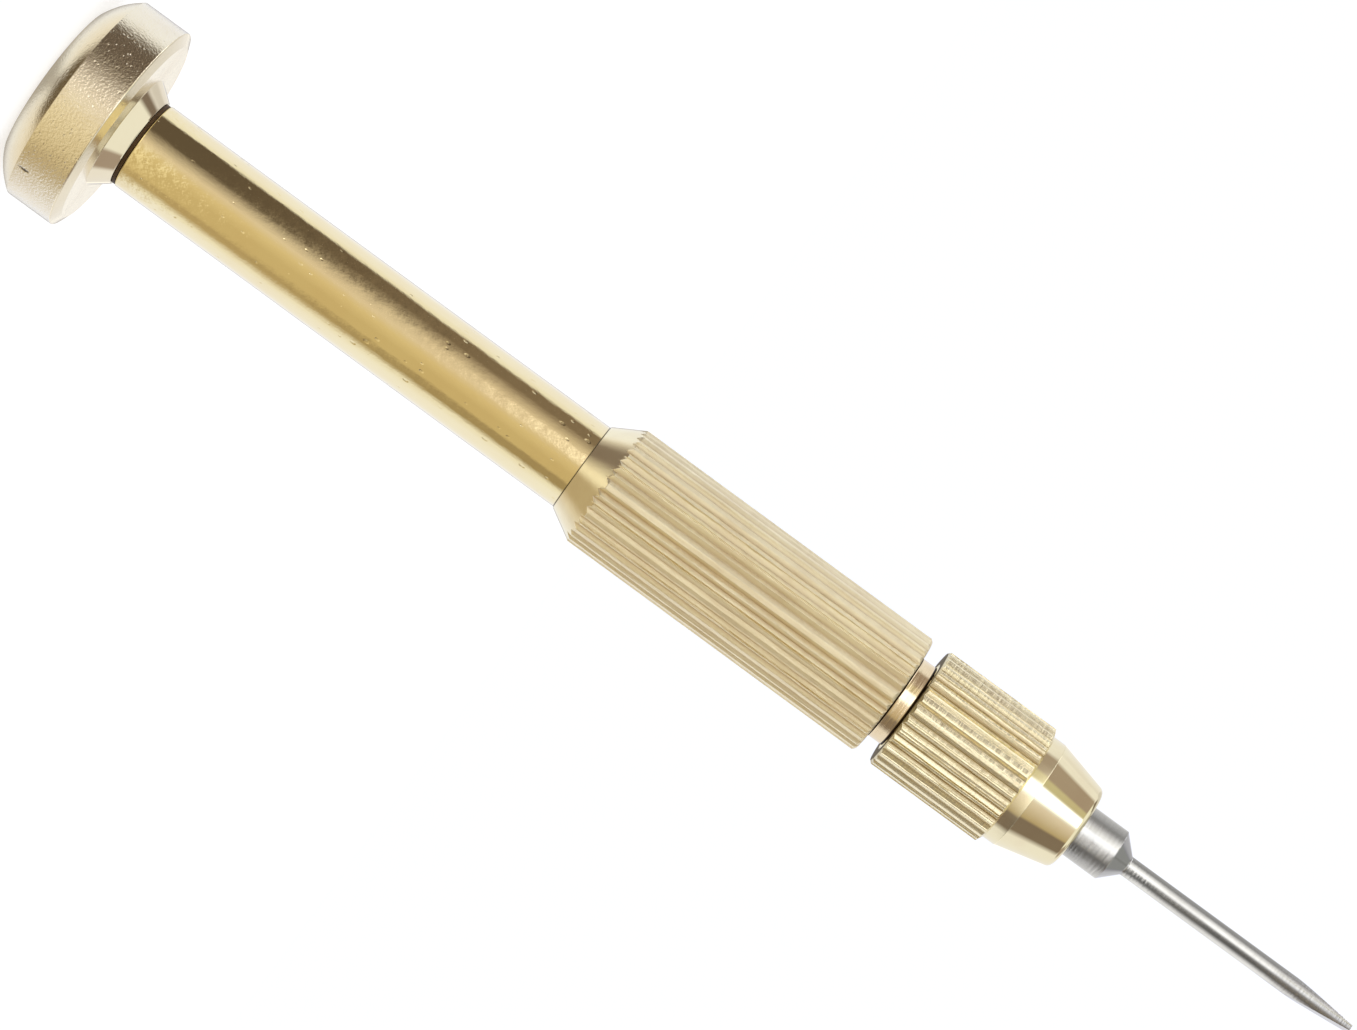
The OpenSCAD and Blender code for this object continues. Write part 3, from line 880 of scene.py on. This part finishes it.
def makeKnurlFinish(name, look):
    material, tree, shader, place = startMetal(name)
    polish, groove = readAttribute(tree, "polish"), readAttribute(tree, "groove")
    stain = stainOver(tree, place, look)
    dirty = ease(tree, groove, look["dirtyFrom"], 1.0)
    knurled, polished = look["roughness"]
    rough = maths(tree, "MULTIPLY_ADD", polish, polished - knurled, knurled)
    rough = maths(tree, "ADD", rough, maths(tree, "MULTIPLY", dirty, look["dirtyRoughness"]))
    metalWithGrimeAndShade(tree, shader, mixColour(tree, dirty, stain["Color"], look["groove"]), rough)
    satin = maths(tree, "POWER", maths(tree, "SUBTRACT", 1.0, polish), 2.0)
    lengthwise = marksOver(tree, place, look, "length")
    crosswise = marksOver(tree, place, look, "cross")
    marks = bump(tree, shader, maths(tree, "MULTIPLY", lengthwise, satin), look["lengthDepth"])
    bump(tree, shader, maths(tree, "MULTIPLY", crosswise, satin), look["crossDepth"], marks)
    return material


knurlCuts = {                # 24 segments to each tooth
    "Segments": 816, "Teeth": 34, "Groove_Depth": 0.20, "Groove_Width": 0.78, "Groove_Floor": 0.02,
    "Wander": 0.13, "Waver": 0.06, "Second_Track": 0.55,
}

gripSizes = {
    "bore": 2.66, "start": 2.72, "startLip": 0.02, "slope": 30.0, "jointWidth": 0.08,
    "endChamfer": 0.15, "mouth": 0.3,
}


def makeGrip(size):
    low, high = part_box("grip")
    radius, start, end = high.y / millimetre, low.z / millimetre, high.z / millimetre
    run = 1 / math.tan(math.radians(size["slope"]))
    slopeTop = start + (radius - size["start"]) * run
    corners = [
        at(size["bore"], start + size["jointWidth"], polish=0.2),
        at(size["start"] - size["startLip"], start, 0.01, 0.75),
        at(size["start"], start, 0.0, 0.75, rows=8),
        at(radius, slopeTop, polish=0.0, rows=40),
        at(radius, end - size["endChamfer"], polish=0.0),
        at(radius - size["endChamfer"], end, polish=0.3),
        # Dirt and painted shade in the mouth at the neck ring
        at(size["bore"] + size["mouth"], end, polish=0.3, grimeAndShade=0.8),
        at(size["bore"], end - size["mouth"], polish=0.2),
    ]
    finish = makeKnurlFinish("gripBrass", gripFinish)
    return turnPiece(
        "gripKnurled", "grip", "handle", "knurled_brass", finish, corners, sharp=28,
        Knurl_Start=start, Knurl_End=end, Knurl_Radius=radius, Start_Edge=slopeTop, Start_Run=run,
        End_Edge=end - size["endChamfer"], End_Run=1.0, Seed=3, **knurlCuts,
    )


nutSizes = {
    "threadBore": 2.55, "threadDepth": 5.6, "mouth": 0.3, "chamber": 2.21, "chamberTop": 8.0,
    "lip": 1.63, "knurlLength": 7.3, "edge": 0.15, "frontEdge": 0.3,
    "land": 3.35, "landLength": 0.8, "noseSlope": 14.0, "noseRounding": 0.4,
}


def makeNut(size):
    low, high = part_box("collet_nut")
    radius, start, end = high.y / millimetre, low.z / millimetre, high.z / millimetre
    knurlEnd = start + size["knurlLength"]
    landEnd = knurlEnd + size["landLength"]
    noseLength = end - landEnd
    noseFront = size["land"] - noseLength * math.tan(math.radians(size["noseSlope"]))
    corners = [
        at(size["lip"], end - noseLength / 2, polish=0.3),
        at(size["chamber"], start + size["chamberTop"], polish=0.2),
        at(size["chamber"], start + size["threadDepth"], polish=0.2),
        at(size["threadBore"], start + size["threadDepth"], polish=0.2),
        at(size["threadBore"], start + size["mouth"], polish=0.3),
        # Dirt and painted shade in the rear mouth and on the rear face, at the neck ring
        at(size["threadBore"] + size["mouth"], start, polish=0.3, grimeAndShade=0.8),
        at(radius - size["edge"], start, polish=0.0, grimeAndShade=0.2),
        at(radius, start + size["edge"], polish=0.0, rows=20),
        at(radius, knurlEnd - size["edge"], polish=0.0),
        at(radius - size["frontEdge"], knurlEnd, polish=0.6),
        at(size["land"], knurlEnd, 0.0, 1.0),
        at(size["land"], landEnd, 0.06, 1.0, rows=2),
        at(noseFront, end, size["noseRounding"], 0.9),
        at(size["lip"], end, 0.03, 0.3),
    ]
    finish = makeKnurlFinish("nutBrass", nutFinish)
    return turnPiece(
        "nutKnurled", "collet_nut", "nut", "knurled_brass", finish, corners, sharp=28,
        Knurl_Start=start, Knurl_End=knurlEnd, Knurl_Radius=radius, Start_Edge=start + size["edge"],
        Start_Run=1.0, End_Edge=knurlEnd - size["edge"], End_Run=size["edge"] / size["frontEdge"],
        Seed=11, **knurlCuts,
    )


# Chuck: a plain turned neck ring shows, and the thread when the nut is unscrewed

chuckFinish = {
    "clean": (0.88, 0.73, 0.47, 1),
    "stained": (0.76, 0.56, 0.33, 1),
    "stainScale": 500.0,
    "stainAmount": 0.5,
    "stainRoughness": 0.12,
    "roughness": 0.08,
    "lineStretch": (0.05, 0.05, 1.0),
    "lineScale": 6000.0,
    "lineDepth": 0.004,     # mm
}


def makeTurnedFinish(name, look):
    # Metal with fine turned or ground rings, for the chuck, the blade and the inner pieces
    material, tree, shader, place = startMetal(name)
    stain = stainOver(tree, place, look)
    rough = maths(tree, "MULTIPLY_ADD", stain["Mask"], look["stainRoughness"], look["roughness"])
    metalWithGrimeAndShade(tree, shader, stain["Color"], rough)
    bump(tree, shader, marksOver(tree, place, look, "line"), look["lineDepth"])
    return material


turnedBrass = makeTurnedFinish("turnedBrass", chuckFinish)

chuckSizes = {
    "tail": 2.65, "ringStart": 56.5, "ringEnd": 57.55, "ring": 2.58, "edge": 0.1,
    "root": 2.25, "relief": 0.3, "thread": 2.5, "pitch": 0.5, "threadDepth": 0.25,
    "colletBore": 1.53, "colletDepth": 4.0, "tailBore": 1.06, "tailDepth": 8.05,
    # Lengths of the ring darkened with dirt and painted shade where it meets the grip and the nut
    "grimeAndShadeBack": 0.16, "grimeAndShadeFront": 0.12,      # mm of the ring
    "threadLip": 0.01, "rowsPerTurn": 10,
}


def makeChuck(size):
    low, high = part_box("chuck_body")
    start, end = low.z / millimetre, high.z / millimetre
    threadStart = size["ringEnd"] + size["relief"]
    threadEnd = end - size["threadLip"]
    threadRows = int((end - threadStart) / size["pitch"]) * size["rowsPerTurn"]
    corners = [
        at(size["tailBore"], end - size["tailDepth"]),
        at(0, end - size["tailDepth"]),
        at(0, start), at(size["tail"], start),
        # Dirt and painted shade on the ring's ends and inside the grip
        at(size["tail"], size["ringStart"] - size["edge"], grimeAndShade=1.0),
        at(size["ring"], size["ringStart"] + size["grimeAndShadeBack"], rows=2),
        at(size["ring"], size["ringEnd"] - size["grimeAndShadeFront"], grimeAndShade=1.0),
        at(size["ring"], size["ringEnd"], 0.03, grimeAndShade=1.0),
        at(size["root"], size["ringEnd"]),
        at(size["root"], threadStart),
        at(size["thread"], threadStart, rows=threadRows),
        at(size["thread"], threadEnd),
        at(size["thread"] - size["threadDepth"], end),
        at(size["colletBore"], end),
        at(size["colletBore"], end - size["colletDepth"]),
        at(size["tailBore"], end - size["colletDepth"]),
    ]
    return turnPiece(
        "chuckTurned", "chuck_body", "handle", "turned_brass", turnedBrass, corners,
        Thread_Start=threadStart, Thread_End=threadEnd, Thread_Pitch=size["pitch"],
        Thread_Depth=size["threadDepth"],
    )


# Blade: ground steel, with two flats at the tip

bladeFinish = {
    "clean": (0.51, 0.50, 0.475, 1),
    "stained": (0.42, 0.41, 0.39, 1),
    "stainScale": 350.0,
    "stainAmount": 0.5,
    "stainRoughness": 0.12,
    "roughness": 0.06,
    "lineStretch": (0.06, 0.06, 1.0),
    "lineScale": 7000.0,
    "lineDepth": 0.0008,    # mm
}

bladeSizes = {
    "tail": 1.0, "tailLength": 12.0, "tailBreak": 0.1, "collar": 1.58, "collarLength": 3.4,
    "shoulderLength": 0.98, "shaft": 0.6, "grindLength": 4.0, "edgeThickness": 0.33, "flatsTurn": -10.0,
    # Length of the collar darkened with dirt and painted shade at the nut's lip
    "grimeAndShadeInside": 0.2, "grimeAndShadeOutside": 0.06,   # mm of the collar at the nut's lip
    "sharp": 25,            # degrees
}


def makeBlade(size):
    low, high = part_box("blade")
    start, end = low.z / millimetre, high.z / millimetre
    shaft = size["shaft"]
    collarStart = start + size["tailLength"]
    collarEnd = collarStart + size["collarLength"]
    shaftStart = collarEnd + size["shoulderLength"]
    grindStart = end - size["grindLength"]
    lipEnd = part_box("collet_nut")[1].z / millimetre
    corners = [
        at(0, start), at(size["tail"] - size["tailBreak"], start),
        at(size["tail"], start + size["tailBreak"]), at(size["tail"], collarStart),
        at(size["collar"], collarStart, 0.04),
        # Dirt and painted shade on the collar where it leaves the nut's lip
        at(size["collar"], lipEnd - size["grimeAndShadeInside"], grimeAndShade=0.8),
        at(size["collar"], lipEnd + size["grimeAndShadeOutside"]),
        at(size["collar"], collarEnd, 0.05),
        at(shaft, shaftStart, 0.12, rows=2),
        at(shaft, grindStart, rows=40),
        at(shaft, end), at(0, end),
    ]
    finish = makeTurnedFinish("bladeSteel", bladeFinish)
    blade = turnPiece(
        "bladeGround", "blade", "blade", "blade_steel", finish, corners, sharp=size["sharp"], Segments=192,
    )
    # The flats: vertices outside the slab between them move in onto its two faces
    turn = math.radians(size["flatsTurn"])
    across = Vector((math.cos(turn), math.sin(turn), 0))
    for vertex in blade.data.vertices:
        share = (vertex.co.z / millimetre - grindStart) / size["grindLength"]
        if share > 0:
            half = (shaft + (size["edgeThickness"] / 2 - shaft) * share) * millimetre
            out = vertex.co.dot(across)
            vertex.co += across * (max(-half, min(half, out)) - out)
    blade.data.update()
    blade.data.set_sharp_from_angle(angle=math.radians(size["sharp"]))
    return blade


makeHead(headSizes)
makeBarrel(barrelSizes)
makeGrip(gripSizes)
makeChuck(chuckSizes)
makeNut(nutSizes)
makeBlade(bladeSizes)
print("stage 2: the turned pieces are in place")


# Inner pieces keep their CAD shapes and get their own finishes

innerLooks = {
    "bush": {
        **chuckFinish, "clean": (0.72, 0.48, 0.27, 1), "stained": (0.52, 0.32, 0.17, 1),
        "stainScale": 600.0, "stainAmount": 0.6, "roughness": 0.28, "lineScale": 5000.0,
    },
    "pin": {
        **chuckFinish, "clean": (0.58, 0.58, 0.58, 1), "stained": (0.45, 0.44, 0.43, 1),
        "stainAmount": 0.4, "roughness": 0.16, "lineScale": 7000.0, "lineDepth": 0.003,
    },
}

washerFinish = {
    "dark": (0.045, 0.024, 0.008, 1), "pale": (0.130, 0.075, 0.030, 1), "shine": 0.15,
    "roughness": 0.45, "fibreRoughness": 0.2,
    "fibreStretch": (1, 1, 3), "fibreScale": 2500.0, "fibreDepth": 0.01,
}


def makeWasherFinish(look):
    # Oiled fibre
    material, tree, shader, place = startMetal("darkWasher")
    shader.inputs["Metallic"].default_value = 0.0
    shader.inputs["Specular IOR Level"].default_value = look["shine"]
    fibres = marksOver(tree, place, look, "fibre", 1.4)
    tree.links.new(mixColour(tree, fibres, look["dark"], look["pale"]), shader.inputs["Base Color"])
    rough = maths(tree, "MULTIPLY_ADD", fibres, look["fibreRoughness"], look["roughness"])
    tree.links.new(rough, shader.inputs["Roughness"])
    bump(tree, shader, fibres, look["fibreDepth"])
    return material


def dressNode(node, material):
    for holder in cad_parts[node].material_slots:
        holder.material = material


pinSteel = makeTurnedFinish("pinSteel", innerLooks["pin"])
dressNode("swivel_pin", pinSteel)
dressNode("retaining_ring", pinSteel)
dressNode("swivel_bush", makeTurnedFinish("bushBronze", innerLooks["bush"]))
dressNode("collet", turnedBrass)
dressNode("thrust_washer", makeWasherFinish(washerFinish))
print("stage 3: the inner pieces are finished")
